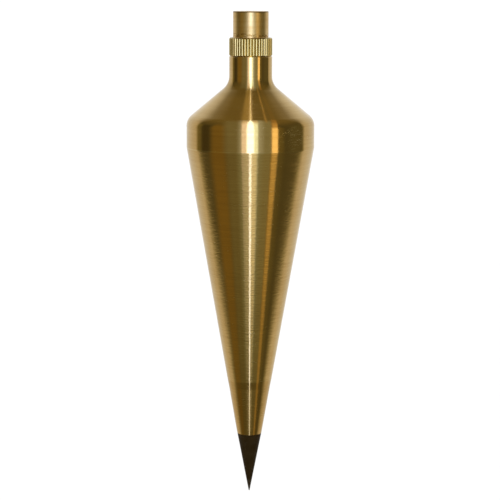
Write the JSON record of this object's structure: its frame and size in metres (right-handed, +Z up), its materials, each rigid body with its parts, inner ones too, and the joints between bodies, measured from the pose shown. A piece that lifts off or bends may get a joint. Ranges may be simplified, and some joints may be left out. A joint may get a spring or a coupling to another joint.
{
  "type": "plumb bob",
  "caption": "Turned brass plumb bob with a long tapered body, a cylindrical band and neck, a knurled screw-in cap drilled for the line, and a screw-in steel point.",
  "frame": {"origin": "the tip of the steel point, which marks the spot under the line", "axes": "+Z up along the bob's axis, from the point to the cap; the bob is round, so +X and +Y are free"},
  "size_m": [0.0369, 0.037, 0.1415],
  "materials": {
    "body_brass": "satin",
    "cap_brass": "satin",
    "point_steel": "satin"
  },
  "bodies": {
    "bob": {"body": "body_brass"},
    "cap": {"cap": "cap_brass"},
    "point": {"point": "point_steel"}
  },
  "joints": [
    {"name": "cap_lift", "type": "slide", "parent": "bob", "child": "cap", "axis": [0, 0, 1], "range_m": [0, 0.02]},
    {"name": "point_pull", "type": "slide", "parent": "bob", "child": "point", "axis": [0, 0, -1], "range_m": [0, 0.02]}
  ]
}
